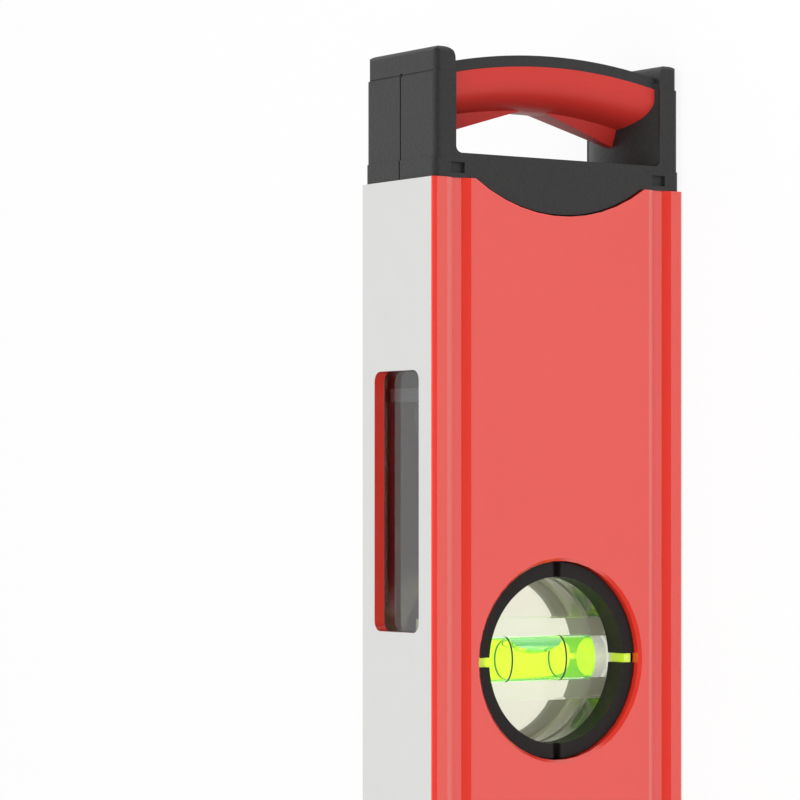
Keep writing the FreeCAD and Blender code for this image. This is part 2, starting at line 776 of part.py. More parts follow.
def make_board():
    """The circuit board, notched round the four bosses."""
    play = module_clearance + module_wall + board_clearance
    x = (module_cut_x[0] + play, module_cut_x[1] - play)
    z = (module_cut_z[0] + play, module_cut_z[1] - play)
    board = rounded_block(on_y(board_y), x, z, 1.0, along_y * board_thickness)
    notches = []
    for hole_x, hole_z in module_hole_points():
        notches.append(rod(boss_radius + 0.2, Vector(hole_x, board_y - 1, hole_z),
                           Vector(hole_x, board_y + board_thickness + 1, hole_z)))
    return board.cut(notches)


def board_posts():
    """Four posts on the inside of the bezel that the board lies against."""
    deep = -half_thickness - module_proud + module_wall / 2
    posts = []
    for x in (module_centre + lens_offset - post_spread * post_left_share,
              module_centre + lens_offset + post_spread * post_right_share):
        for z in (module_cut_z[0] + post_inset, module_cut_z[1] - post_inset):
            posts.append(rod(post_radius, Vector(x, deep, z), Vector(x, board_y - panel_seat, z)))
    return posts


def make_switches():
    """One tact switch on the board behind each button."""
    bodies = []
    for x, z in button_places():
        half = switch_size / 2
        bodies.append(box((x - half, x + half), (board_y - switch_height, board_y - panel_seat),
                          (z - half, z + half)))
    return Part.makeCompound(bodies)


def make_button(x, z):
    """A button cap with its retaining lip behind the bezel and a post towards its switch."""
    face_y = -half_thickness - module_proud
    lip_y = face_y + module_wall + button_seat
    cap = rounded_block(on_y(face_y - button_proud), (x - button_length / 2, x + button_length / 2),
                        (z - button_height / 2, z + button_height / 2), button_radius,
                        along_y * (lip_y - face_y + button_proud + 0.1))
    rim = [edge for edge in cap.Edges if abs(edge.CenterOfMass.y - face_y + button_proud) < 0.01]
    cap = cap.makeChamfer(button_chamfer, rim)
    lip = box((x - button_length / 2 - button_lip, x + button_length / 2 + button_lip),
              (lip_y, lip_y + button_lip_thickness),
              (z - button_height / 2 - button_lip, z + button_height / 2 + button_lip))
    post_y = board_y - switch_height - button_travel - 0.1
    post = rod(button_post_radius, Vector(x, lip_y + 0.1, z), Vector(x, post_y, z))
    return joined(cap, lip, post)


def cell_centres():
    """The axes of the two battery cells, side by side in the bay."""
    y = module_split + split_gap + bay_floor + cell_play + cell_radius
    for sign in (1, -1):
        yield y, middle_z + sign * (cell_radius + cell_gap / 2), sign


def make_cells():
    """Two slim cells, lying opposite ways round."""
    cells = []
    centre_x = module_centre + bay_offset
    for y, z, sign in cell_centres():
        tail = Vector(centre_x - sign * cell_length / 2, y, z)
        can = rod(cell_radius, tail, tail + along_x * sign * cell_length)
        can = can.makeChamfer(cell_chamfer,
                              [edge for edge in can.Edges if edge.Curve.TypeId == "Part::GeomCircle"])
        tip = tail + along_x * sign * (cell_length - 0.1)
        nub = rod(cell_nub_radius, tip, tip + along_x * sign * (cell_nub_length + 0.1))
        cells.append(joined(can, nub))
    return Part.makeCompound(cells)


def make_contacts():
    """Spring and plate contacts at the ends of the cell bay."""
    pieces = []
    centre_x = module_centre + bay_offset
    for y, z, sign in cell_centres():
        plates = ((bay_x[1] if sign > 0 else bay_x[0], sign, False),
                  (bay_x[0] if sign > 0 else bay_x[1], -sign, True))
        for wall, outward, sprung in plates:
            inner = wall - outward * contact_thickness
            plate = box((wall - outward * contact_seat, inner),
                        (y - contact_height / 2, y + contact_height / 2),
                        (z - contact_width / 2, z + contact_width / 2))
            nub = 0.0 if sprung else cell_nub_length
            reach = centre_x + outward * (cell_length / 2 + contact_gap + nub)
            if sprung:
                extra = coil(inner, reach, y, z)
            else:
                extra = rod(cell_nub_radius, Vector(inner + outward * 0.1, y, z), Vector(reach, y, z))
            pieces.append(joined(plate, extra))
    return Part.makeCompound(pieces)


def coil(start, end, y, z):
    """The conical contact spring, closed up so that its turns lie on one another."""
    step = (end - start) / (2 * spring_turns)
    points = [Vector(start - step / 4, y, z)]
    for index in range(2 * spring_turns + 1):
        radius = spring_radius - spring_taper * index / (2 * spring_turns)
        if index % 2:
            radius -= spring_wire / 2
        points.append(Vector(max(min(start, end), min(max(start, end), start + step * index)), y + radius, z))
    points[1] = Vector(start - step / 4, y + spring_radius, z)
    points.append(Vector(end, y, z))
    outline = Part.Face(Part.makePolygon(points + points[:1]))
    return outline.revolve(Vector(start, y, z), along_x, 360)


def make_door():
    """The battery door: a plate on a rounded knuckle with two pins at its lower edge."""
    face_y = half_thickness + module_proud
    plate = box(door_x, (face_y - door_thickness, face_y), (hinge_z, door_z[1]))
    top = [edge for edge in plate.Edges if abs(edge.CenterOfMass.y - face_y) < 0.01
           and abs(edge.CenterOfMass.z - door_z[1]) < 0.01]
    plate = plate.makeChamfer(door_chamfer, top)
    knuckle = rod(door_knuckle, Vector(door_x[0], hinge_y, hinge_z), Vector(door_x[1], hinge_y, hinge_z))
    pins = []
    for x, sign in ((door_x[0], -1), (door_x[1], 1)):
        pins.append(rod(door_pin_radius, Vector(x - sign * 0.5, hinge_y, hinge_z),
                        Vector(x + sign * door_pin_length, hinge_y, hinge_z)))
    ribs = []
    middle_x = module_centre + bay_offset
    for index in range(door_rib_count):
        z = door_z[1] - door_rib_pitch * (index + 2)
        ribs.append(box((middle_x - door_rib_length / 2, middle_x + door_rib_length / 2),
                        (face_y - door_rib_depth, face_y + 1), (z - door_rib_depth, z + door_rib_depth)))
    return joined(plate, knuckle, *pins).cut(ribs)


# Places worked out from the sizes above
plumb_x = half_length - plumb_distance
window_x = (half_length - window_start - window_length, half_length - window_start)
notch_x = (level_centre - notch_width / 2, level_centre + notch_width / 2)
notch_z = profile_height - notch_depth
module_cut_x = (module_centre - module_length / 2 + module_flange,
                module_centre + module_length / 2 - module_flange)
module_cut_z = (middle_z - module_height / 2 + module_flange, middle_z + module_height / 2 - module_flange)
board_y = -half_thickness + board_depth - board_thickness
bay_x = (module_centre + bay_offset - bay_length / 2, module_centre + bay_offset + bay_length / 2)
bay_z = (middle_z - 2 * cell_radius - cell_gap / 2 - cell_play,
         middle_z + 2 * cell_radius + cell_gap / 2 + cell_play)
door_x = (bay_x[0] - door_lap, bay_x[1] + door_lap)
door_x_hole = (door_x[0] - door_gap, door_x[1] + door_gap)
hinge_y = half_thickness + module_proud - door_knuckle
hinge_z = bay_z[0] - door_hinge_drop
door_z = (hinge_z, bay_z[1] + door_lap_top)
door_z_hole = (hinge_z, door_z[1] + door_gap)


def build():
    """Every piece of the level by the name of its node."""
    nodes = {"profile": make_profile()}
    cap = make_end_cap()
    grip = make_grip()
    nodes["end_cap_right"] = cap
    nodes["end_cap_left"] = mirrored(cap)
    nodes["grip_right"] = grip
    nodes["grip_left"] = mirrored(grip)
    for side, x in (("right", plumb_x), ("left", -plumb_x)):
        nodes["plumb_ring_front_" + side] = make_ring(x, -1)
        nodes["plumb_ring_rear_" + side] = make_ring(x, 1)
        centre = Vector(x, 0, middle_z)
        upward = along_x * math.copysign(1, x)
        vial = make_vial(centre, along_z * -1, upward, make_plumb_body(x), vial_length, block_length / 2)
        for name, shape in zip(("body", "liquid", "marks", "plug"), vial):
            nodes["plumb_" + name + "_" + side] = shape
    nodes["window_pane"] = make_pane()
    nodes["mirror"] = make_mirror()
    nodes["mirror_bracket"] = make_hood()
    nodes["level_holder"] = make_holder()
    block_low = notch_z + holder_clearance + holder_floor + block_clearance
    inside = notch_width / 2 - holder_clearance - holder_wall - block_clearance
    block = box((level_centre - inside, level_centre + inside),
                (-level_block_depth / 2, level_block_depth / 2),
                (block_low, block_low + level_block_height))
    centre = Vector(level_centre, 0, block_low + level_block_height / 2)
    vial = make_vial(centre, along_x, along_z, block, level_vial_length, inside)
    for name, shape in zip(("block", "liquid", "marks", "plug"), vial):
        nodes["level_" + name] = shape
    nodes["module_front"] = make_module_front()
    nodes["module_rear"] = make_module_rear()
    nodes["module_screws"] = make_screws()
    nodes["display_lens"] = lens_well(0.0, lens_thickness - panel_seat)
    nodes["circuit_board"] = make_board()
    lcd_x = module_centre + lens_offset
    nodes["display_panel"] = box((lcd_x - panel_length / 2, lcd_x + panel_length / 2),
                                 (board_y - panel_seat - panel_thickness, board_y - panel_seat),
                                 (middle_z - panel_height / 2, middle_z + panel_height / 2))
    nodes["switches"] = make_switches()
    back_y = board_y + board_thickness + panel_seat
    sensor_x = module_cut_x[0] + board_end_inset
    nodes["tilt_sensor"] = box((sensor_x, sensor_x + sensor_size), (back_y, back_y + sensor_height),
                               (middle_z - sensor_size / 2, middle_z + sensor_size / 2))
    buzzer = Vector(module_cut_x[1] - board_end_inset, back_y, middle_z)
    nodes["buzzer"] = rod(buzzer_radius, buzzer, buzzer + along_y * buzzer_height)
    names = ("power", "hold", "unit", "light")
    for name, (x, z) in zip(names, button_places()):
        nodes["button_" + name] = make_button(x, z)
    nodes["battery_cells"] = make_cells()
    nodes["battery_contacts"] = make_contacts()
    nodes["battery_door"] = make_door()
    return nodes


os.makedirs("parts", exist_ok=True)
for name, shape in build().items():
    assert shape.isValid(), name
    shape.exportStep("parts/" + name + ".step")
    print(name, len(shape.Solids), round(shape.Volume, 1))
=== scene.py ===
import math

import bmesh
import bpy
import numpy as np
from mathutils import Matrix, Vector


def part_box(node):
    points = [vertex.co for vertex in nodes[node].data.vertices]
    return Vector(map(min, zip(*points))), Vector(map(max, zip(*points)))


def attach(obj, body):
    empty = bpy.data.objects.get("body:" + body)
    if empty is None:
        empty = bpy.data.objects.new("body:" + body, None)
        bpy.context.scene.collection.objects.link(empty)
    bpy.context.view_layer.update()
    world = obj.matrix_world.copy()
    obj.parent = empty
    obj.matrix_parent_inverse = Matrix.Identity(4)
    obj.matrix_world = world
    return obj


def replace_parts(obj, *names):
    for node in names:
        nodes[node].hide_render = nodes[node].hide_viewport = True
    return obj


# Box-section spirit level with an electronic display, standing on its lower milled edge.
# X runs along it, Y across its thickness, Z up. Sizes are in metres.

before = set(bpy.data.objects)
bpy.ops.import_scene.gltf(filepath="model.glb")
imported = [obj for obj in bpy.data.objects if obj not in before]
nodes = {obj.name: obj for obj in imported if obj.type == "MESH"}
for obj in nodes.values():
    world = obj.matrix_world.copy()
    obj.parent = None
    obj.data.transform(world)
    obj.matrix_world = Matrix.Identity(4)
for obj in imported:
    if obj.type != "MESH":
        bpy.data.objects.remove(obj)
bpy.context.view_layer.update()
mm = 0.001

# The camera looks down on one broad face and the upper milled edge, rolled so that the
# photographed end of the level is at the top of the picture.
view_tilt = math.radians(34.638)
camera_place = (214.95 * mm, -530.41 * mm, 425.60 * mm)
lens_mm = 153.65
upward_shift = 0.1235

camera = bpy.data.objects.new("camera", bpy.data.cameras.new("camera"))
bpy.context.collection.objects.link(camera)
camera.data.sensor_width = 36
camera.data.lens = lens_mm
camera.data.shift_y = upward_shift
camera.data.clip_start = 0.01
right = Vector((0, -math.sin(view_tilt), -math.cos(view_tilt)))
upward = Vector((1, 0, 0))
turn = Matrix((right, upward, right.cross(upward))).transposed()
camera.matrix_world = Matrix.Translation(camera_place) @ turn.to_4x4()
bpy.context.scene.camera = camera
bpy.context.scene.view_settings.view_transform = "Standard"


# White floor. The camera, reflections and clear plastic see it glow evenly, and the part
# receives what it scatters of the lamps' light.
floor_half = 0.7
floor_drop = 0.1 * mm
floor_glow = 0.9
floor_white = 0.9


def add_node(material, kind, inputs, **settings):
    """A shader node with its settings, its inputs given as values or as other sockets."""
    node = material.node_tree.nodes.new(kind)
    for name, value in settings.items():
        setattr(node, name, value)
    for name, value in inputs.items():
        if isinstance(value, bpy.types.NodeSocket):
            material.node_tree.links.new(value, node.inputs[name])
        else:
            node.inputs[name].default_value = value
    return node


def seen_directly(tree_owner):
    """One for what the camera, a reflection or clear plastic looks at, and else zero."""
    path = add_node(tree_owner, "ShaderNodeLightPath", {})
    opaque = add_node(tree_owner, "ShaderNodeMath",
                      {0: path.outputs["Is Camera Ray"], 1: path.outputs["Is Glossy Ray"]},
                      operation="MAXIMUM")
    return add_node(tree_owner, "ShaderNodeMath",
                    {0: opaque.outputs[0], 1: path.outputs["Is Transmission Ray"]},
                    operation="MAXIMUM").outputs[0]


floor_mesh = bpy.data.meshes.new("floor")
floor_mesh.from_pydata([(x * floor_half, y * floor_half, -floor_drop)
                        for x, y in ((-1, -1), (1, -1), (1, 1), (-1, 1))], [], [(0, 1, 2, 3)])
floor = bpy.data.objects.new("floor", floor_mesh)
bpy.context.collection.objects.link(floor)
floor_finish = bpy.data.materials.new("white_floor")
floor_finish.use_nodes = True
floor_mesh.materials.append(floor_finish)
floor_finish.node_tree.nodes.clear()
glow_share = add_node(floor_finish, "ShaderNodeMath", {0: seen_directly(floor_finish), 1: floor_glow},
                      operation="MULTIPLY")
paper = add_node(floor_finish, "ShaderNodeBsdfDiffuse", {"Color": (floor_white, floor_white, floor_white, 1)})
glow = add_node(floor_finish, "ShaderNodeEmission", {"Color": (1, 1, 1, 1), "Strength": 1.0})
floor_mix = add_node(floor_finish, "ShaderNodeMixShader",
                     {0: glow_share.outputs[0], 1: paper.outputs[0], 2: glow.outputs[0]})
add_node(floor_finish, "ShaderNodeOutputMaterial", {"Surface": floor_mix.outputs[0]})

# Room: white to the camera and through clear plastic, half as bright as a source of light.
# Reflections find it nearly dark on the camera's side, at negative Y, and brightest opposite.
room_soft = 0.5
room_gloss = 1.1
dark_gloss = 0.03
dark_heading, bright_heading = -0.5, 0.3
world = bpy.data.worlds.new("white_room")
world.use_nodes = True
bpy.context.scene.world = world
world.node_tree.nodes.clear()
path = add_node(world, "ShaderNodeLightPath", {}).outputs
heading = add_node(world, "ShaderNodeSeparateXYZ",
                   {0: add_node(world, "ShaderNodeTexCoord", {}).outputs["Generated"]}).outputs
graded = add_node(world, "ShaderNodeMapRange",
                  {"Value": heading["Y"], "From Min": dark_heading, "From Max": bright_heading,
                   "To Min": dark_gloss, "To Max": room_gloss},
                  interpolation_type="SMOOTHSTEP").outputs[0]
in_gloss = add_node(world, "ShaderNodeMath", {0: path["Is Glossy Ray"], 1: graded},
                    operation="MULTIPLY").outputs[0]
straight = add_node(world, "ShaderNodeMath", {0: path["Is Camera Ray"], 1: path["Is Transmission Ray"]},
                    operation="MAXIMUM").outputs[0]
in_soft = add_node(world, "ShaderNodeMath", {0: path["Is Diffuse Ray"], 1: room_soft},
                   operation="MULTIPLY").outputs[0]
seen = add_node(world, "ShaderNodeMath", {0: in_gloss, 1: straight}, operation="MAXIMUM").outputs[0]
strength = add_node(world, "ShaderNodeMath", {0: seen, 1: in_soft}, operation="MAXIMUM").outputs[0]
backdrop = add_node(world, "ShaderNodeBackground", {"Color": (1, 1, 1, 1), "Strength": strength})
add_node(world, "ShaderNodeOutputWorld", {"Surface": backdrop.outputs[0]})

# A large soft key lamp high over the photographed end and a fill before the broad face that the
# camera sees. Reflections don't show them. Each has its place, aim, size and power.
lamps = (("key", (0.30, -0.15, 1.0), (0.2, 0, 0.03), 0.6, 6.0),
         ("fill", (0.0, -1.0, 0.6), (0.1, 0, 0.03), 0.9, 3.0))
for name, place, aim, size, power in lamps:
    lamp = bpy.data.objects.new(name, bpy.data.lights.new(name, "AREA"))
    bpy.context.collection.objects.link(lamp)
    lamp.data.size = size
    lamp.data.energy = power
    direction = Vector(aim) - Vector(place)
    lamp.visible_glossy = False
    lamp.matrix_world = Matrix.Translation(place) @ direction.to_track_quat("-Z", "Y").to_matrix().to_4x4()


# The box section: extruded aluminium, powder coated red, with both edges then milled bare.
# The cutter leaves fine arcs across the edges, and the coat stays on the cut-outs' walls.
coat_red = (0.82, 0.036, 0.019)
# Nearly black red for the faces inside the box: painted shade.
painted_inside_shade = (0.055, 0.012, 0.010)
bare_metal = (0.68, 0.68, 0.665)
edge_half = 30.0 * mm
milled_skin = 0.03 * mm
edge_wall = 2.3 * mm
side_wall = 2.25 * mm
side_half = 12.1 * mm
cutter_radius = 80.0 * mm
cutter_centre_y = -30.0 * mm
cutter_feed = 0.45 * mm
bare_metallic = 0.55
coat_rough, bare_rough = 0.22, 0.36


def new_finish(name, colour, roughness, **sockets):
    """A material with one Principled shader; further sockets by name, spaces as underscores."""
    material = bpy.data.materials.new(name)
    material.use_nodes = True
    shader = material.node_tree.nodes["Principled BSDF"]
    shader.inputs["Base Color"].default_value = (*colour, 1)
    shader.inputs["Roughness"].default_value = roughness
    for socket, value in sockets.items():
        shader.inputs[socket.replace("_", " ")].default_value = value
    return material


def shader_of(material):
    """The material's Principled shader."""
    return material.node_tree.nodes["Principled BSDF"]


def wire(material, output, socket):
    """Feeds one socket of the material's Principled shader."""
    material.node_tree.links.new(output, shader_of(material).inputs[socket])


def own_place(material):
    """The piece's own coordinates."""
    return add_node(material, "ShaderNodeTexCoord", {}).outputs["Object"]


def maths(material, operation, *values):
    """A Math node's output."""
    return add_node(material, "ShaderNodeMath", dict(enumerate(values)), operation=operation).outputs[0]


def speckle(material, size, detail=2.0):
    """Noise whose features are about one size across."""
    return add_node(material, "ShaderNodeTexNoise",
                    {"Vector": own_place(material), "Scale": 1 / size, "Detail": detail}).outputs["Fac"]


def blend_colour(material, share, low, high):
    """A colour between two, by a share."""
    mix = add_node(material, "ShaderNodeMix", {"Factor": share}, data_type="RGBA")
    for socket, colour in ((6, low), (7, high)):
        mix.inputs[socket].default_value = (*colour, 1)
    return mix.outputs[2]


def spread(material, value, low, high):
    """A value from 0 to 1 spread between two limits."""
    return add_node(material, "ShaderNodeMapRange",
                    {"Value": value, "To Min": low, "To Max": high}).outputs[0]


def relief(material, height, depth, strength=1.0):
    """Bumps the surface by a height from 0 to 1 that stands for a depth in metres."""
    bump = add_node(material, "ShaderNodeBump", {"Height": height, "Distance": depth, "Strength": strength})
    wire(material, bump.outputs[0], "Normal")


def dress(material, *names):
    """Gives CAD nodes a finish."""
    for name in names:
        for slot in nodes[name].material_slots:
            slot.material = material


coat = new_finish("red_coat", coat_red, 0.4, Specular_IOR_Level=0.7, Coat_Roughness=0.12)
axes = add_node(coat, "ShaderNodeSeparateXYZ", {0: own_place(coat)}).outputs
from_middle = maths(coat, "ABSOLUTE", maths(coat, "SUBTRACT", axes["Z"], edge_half))
milled = maths(coat, "GREATER_THAN", from_middle, edge_half - milled_skin)
across = maths(coat, "SUBTRACT", axes["Y"], cutter_centre_y)
across_squared = maths(coat, "MULTIPLY", across, across)
sweep = maths(coat, "SQRT", maths(coat, "SUBTRACT", cutter_radius ** 2, across_squared))
lag = maths(coat, "MULTIPLY", speckle(coat, 12 * mm), cutter_feed)
travel = maths(coat, "ADD", maths(coat, "SUBTRACT", axes["X"], sweep), lag)
arcs = maths(coat, "SINE", maths(coat, "MULTIPLY", travel, math.tau / cutter_feed))
arcs = maths(coat, "MULTIPLY", maths(coat, "MULTIPLY_ADD", arcs, 0.5, 0.5), speckle(coat, 6 * mm))
orange_peel = speckle(coat, 1.1 * mm)
height = maths(coat, "ADD", maths(coat, "MULTIPLY", arcs, milled),
               maths(coat, "MULTIPLY", orange_peel, maths(coat, "SUBTRACT", 1.0, milled)))
metal = blend_colour(coat, arcs, tuple(0.93 * c for c in bare_metal), bare_metal)
painted = blend_colour(coat, speckle(coat, 40 * mm), tuple(0.97 * c for c in coat_red), coat_red)
# Inside the closed box the coat turns nearly black: painted shade, where the section keeps the light out.
deep_edge = maths(coat, "LESS_THAN", from_middle, edge_half - edge_wall + milled_skin)
deep_side = maths(coat, "LESS_THAN", maths(coat, "ABSOLUTE", axes["Y"]), side_half - side_wall + milled_skin)
inside = maths(coat, "MULTIPLY", deep_edge, deep_side)
skin = add_node(coat, "ShaderNodeMix", {"Factor": milled, 6: painted, 7: metal}, data_type="RGBA").outputs[2]
skin = add_node(coat, "ShaderNodeMix", {"Factor": inside, 6: skin, 7: (*painted_inside_shade, 1)}, data_type="RGBA")
wire(coat, skin.outputs[2], "Base Color")
wire(coat, spread(coat, milled, 0.0, bare_metallic), "Metallic")
wire(coat, maths(coat, "SUBTRACT", 1.0, milled), "Coat Weight")
wire(coat, spread(coat, milled, coat_rough, bare_rough), "Roughness")
relief(coat, height, 0.006 * mm, 0.6)
dress(coat, "profile")


# End caps: black glass-filled nylon, moulded in one piece with the handle towers, spark-eroded
# grain on the outside, pressed into the ends of the box.
moulded_black = (0.024, 0.024, 0.0235)


def moulding(name, colour, grain, depth, roughness, shine=0.4):
    """Moulded plastic with an eroded grain: cells of one size over a finer noise."""
    material = new_finish(name, colour, roughness, Specular_IOR_Level=shine)
    cells = add_node(material, "ShaderNodeTexVoronoi",
                     {"Vector": own_place(material), "Scale": 1 / grain},
                     feature="SMOOTH_F1").outputs["Distance"]
    fine = speckle(material, grain * 0.6, 3.0)
    rough = maths(material, "MULTIPLY_ADD", cells, 0.6, maths(material, "MULTIPLY", fine, 0.4))
    light, dark = tuple(1.25 * c for c in colour), tuple(0.8 * c for c in colour)
    wire(material, blend_colour(material, rough, light, dark), "Base Color")
    wire(material, spread(material, fine, roughness - 0.08, roughness + 0.1), "Roughness")
    relief(material, rough, depth, 0.7)
    return material


cap_black = moulding("cap_black", moulded_black, 0.7 * mm, 0.11 * mm, 0.5)
dress(cap_black, "end_cap_right", "end_cap_left")


# Grips: soft red elastomer moulded round the underside of the handles, with a low sheen.
grip_red = (0.64, 0.035, 0.026)
grip_finish = new_finish("soft_red", grip_red, 0.42, Specular_IOR_Level=0.35)
relief(grip_finish, speckle(grip_finish, 0.8 * mm), 0.01 * mm, 0.4)
dress(grip_finish, "grip_right", "grip_left")


# Plumb vials: a clear acrylic moulding with the vial bored in it, held between two black rings.
# The bore is full of a fluorescent spirit, apart from the bubble, and a white plug closes it.
vial_radius = 4.4 * mm
vial_length = 33.0 * mm
bubble_half = 6.2 * mm
bubble_deep = 2.7 * mm
bubble_sag = 0.3
bubble_film = 0.05 * mm
bubble_blunt = 0.8
bubble_rows = 41
wall_stations = 101
wall_gap = 0.03 * mm
wet_edge = 0.3 * mm
plug_radius = 4.05 * mm
nose_reach = 3.0 * mm
nose_dip = 0.5 * mm
ring_turns = 64
bore_tolerance = 0.02 * mm
back_facing, rim_facing = 0.9, 0.1
sharp_from = math.radians(35)
tab_start = 6.1 * mm
rim_start = 16.0 * mm
spirit_index = 1.36
acrylic_index = 1.49


def round_off(mesh):
    """Shades a mesh smooth, apart from its sharp edges."""
    mesh.polygons.foreach_set("use_smooth", np.ones(len(mesh.polygons), dtype=bool))
    mesh.set_sharp_from_angle(angle=sharp_from)


def surface_mesh(name, grids, finishes):
    """A mesh from grids of points, each wrapped in its second direction.

    Each grid is (points, finish number), with points as an array of rows by columns by 3.
    Rows whose points coincide close the surface, and their doubles are merged.
    """
    verts, faces, marks, start = [], [], [], 0
    for points, finish in grids:
        rows, columns = points.shape[:2]
        index = np.arange(rows * columns).reshape(rows, columns) + start
        ahead = np.roll(index, -1, axis=1)
        quads = np.stack([index[:-1], ahead[:-1], ahead[1:], index[1:]], axis=-1).reshape(-1, 4)
        verts.append(points.reshape(-1, 3))
        faces.append(quads)
        marks.append(np.full(len(quads), finish))
        start += rows * columns
    mesh = bpy.data.meshes.new(name)
    mesh.from_pydata(np.concatenate(verts).tolist(), [], np.concatenate(faces).tolist())
    mesh.polygons.foreach_set("material_index", np.concatenate(marks).astype(np.int32))
    shell = bmesh.new()
    shell.from_mesh(mesh)
    bmesh.ops.remove_doubles(shell, verts=shell.verts, dist=1e-7)
    bmesh.ops.dissolve_degenerate(shell, edges=shell.edges, dist=1e-8)
    shell.to_mesh(mesh)
    shell.free()
    round_off(mesh)
    for finish in finishes:
        mesh.materials.append(finish)
    piece = bpy.data.objects.new(name, mesh)
    bpy.context.collection.objects.link(piece)
    return piece


def turned(centre, direction, upward, profile):
    """Points of a turned surface: each (distance along the axis, radius) swept once round it."""
    profile = np.asarray(profile, dtype=float)
    angle = np.linspace(0, math.tau, ring_turns, endpoint=False)
    sideways = np.cross(direction, upward)
    around = np.cos(angle)[:, None] * upward + np.sin(angle)[:, None] * sideways
    along = profile[:, 0, None, None] * direction
    return centre + along + profile[:, 1, None, None] * around


def bubble_grid(centre, direction, upward):
    """Points of the bubble, facing inwards: the top of the bore above a sagging meniscus.

    Its depth falls towards both ends as an ellipse does, raised to a power that blunts them.
    Each section runs along the bore's arc one way and back along the meniscus.
    """
    top = vial_radius - bubble_film
    swing = np.linspace(0, math.pi, bubble_rows)[:, None]
    reach = -bubble_half * np.cos(swing)
    depth = bubble_deep * np.sin(swing) ** bubble_blunt
    half_angle = np.arccos(1 - depth / top)
    share = np.linspace(1, -1, ring_turns // 2, endpoint=False)[None, :]
    arc_side = top * np.sin(half_angle * share)
    arc_rise = top * np.cos(half_angle * share)
    sag_side = -top * np.sin(half_angle) * share
    sag_rise = top - depth - bubble_sag * depth * (1 - share ** 2)
    side = np.concatenate((arc_side, sag_side), axis=1)
    rise = np.concatenate((arc_rise, sag_rise), axis=1)
    sideways = np.cross(direction, upward)
    return (centre + reach[..., None] * direction + side[..., None] * sideways + rise[..., None] * upward)


def fill_vial(tag, centre, direction, upward, length):
    """The spirit with its bubble, for one vial.

    A value on the mesh says where the wall is wet: it is dry above the bubble's meniscus.
    """
    inner = vial_radius - wall_gap
    start = -length / 2 + wall_gap
    end = length / 2 - nose_reach
    wall = [(along, inner) for along in np.linspace(start, end, wall_stations)]
    stations = [(start, 0)] + wall + [(end, 0)]
    grids = [(turned(centre, direction, upward, stations), 0), (bubble_grid(centre, direction, upward), 1)]
    spirit_piece = surface_mesh("spirit_" + tag, grids, [spirit, bubble_face])
    mesh = spirit_piece.data
    points = np.empty(len(mesh.vertices) * 3)
    mesh.vertices.foreach_get("co", points)
    offset = points.reshape(-1, 3) - centre
    inside = np.clip(1 - (offset @ direction / bubble_half) ** 2, 0, 1)
    brink = vial_radius - bubble_deep * inside ** (bubble_blunt / 2)
    wetness = np.clip(0.5 + (brink - offset @ upward) / wet_edge, 0, 1)
    mesh.attributes.new("wet", "FLOAT", "POINT").data.foreach_set("value", wetness)
    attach(spirit_piece, "level")
    return spirit_piece


def close_vial(tag, centre, direction, upward, length):
    """The plug: a dished face that dips into the spirit, a smooth barrel and two ribs."""
    start = length / 2 - nose_reach - nose_dip
    steps = ((0.45, 0.0), (0.35, 0.3), (0.0, 0.62), (0.0, 0.93), (0.2, 1.0), (3.2, 1.0),
             (3.4, 0.86), (3.9, 0.86), (4.1, 1.0), (4.9, 1.0), (5.1, 0.86), (5.6, 0.86),
             (5.8, 1.0), (8.2, 1.0), (8.4, 0.94), (8.4, 0.0))
    profile = [(start + step * mm, share * plug_radius) for step, share in steps]
    plug = surface_mesh("plug_" + tag, [(turned(centre, direction, upward, profile), 0)], [plug_white])
    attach(plug, "level")
    return plug


def clear_block(tag, node, centre, direction):
    """The clear moulding: the CAD solid with its bore closed up, since the spirit and plug fill it.

    The spirit's wall then bends light once, as it does where clear plastic is wet.
    """
    shell = bmesh.new()
    shell.from_mesh(nodes[node].data)
    bmesh.ops.remove_doubles(shell, verts=shell.verts, dist=1e-6)
    middle, axis = Vector(centre), Vector(direction)
    in_bore = set()
    for vert in shell.verts:
        offset = vert.co - middle
        if (offset - offset.dot(axis) * axis).length < vial_radius + bore_tolerance:
            in_bore.add(vert)
    walls = [face for face in shell.faces if in_bore.issuperset(face.verts)]
    bmesh.ops.delete(shell, geom=walls, context="FACES")
    mouth = [edge for edge in shell.edges if edge.is_boundary]
    bmesh.ops.holes_fill(shell, edges=mouth)
    bmesh.ops.recalc_face_normals(shell, faces=shell.faces)
    for face in shell.faces:
        reach = face.calc_center_median() - middle
        face.material_index = 1 if abs(reach.y) > tab_start else 2 if face.normal.y > back_facing else 0
        face.smooth = abs(face.normal.y) < rim_facing and Vector((reach.x, reach.z)).length > rim_start
    mesh = bpy.data.meshes.new("clear_" + tag)
    shell.to_mesh(mesh)
    shell.free()
    own_normals = mesh.attributes.get("custom_normal")
    if own_normals:
        mesh.attributes.remove(own_normals)
    mesh.set_sharp_from_angle(angle=sharp_from)
    for finish in (acrylic, tab_painted_glow, milky_painted_glow):
        mesh.materials.append(finish)
    piece = bpy.data.objects.new("clear_" + tag, mesh)
    bpy.context.collection.objects.link(piece)
    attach(piece, "level")
    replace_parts(piece, node)


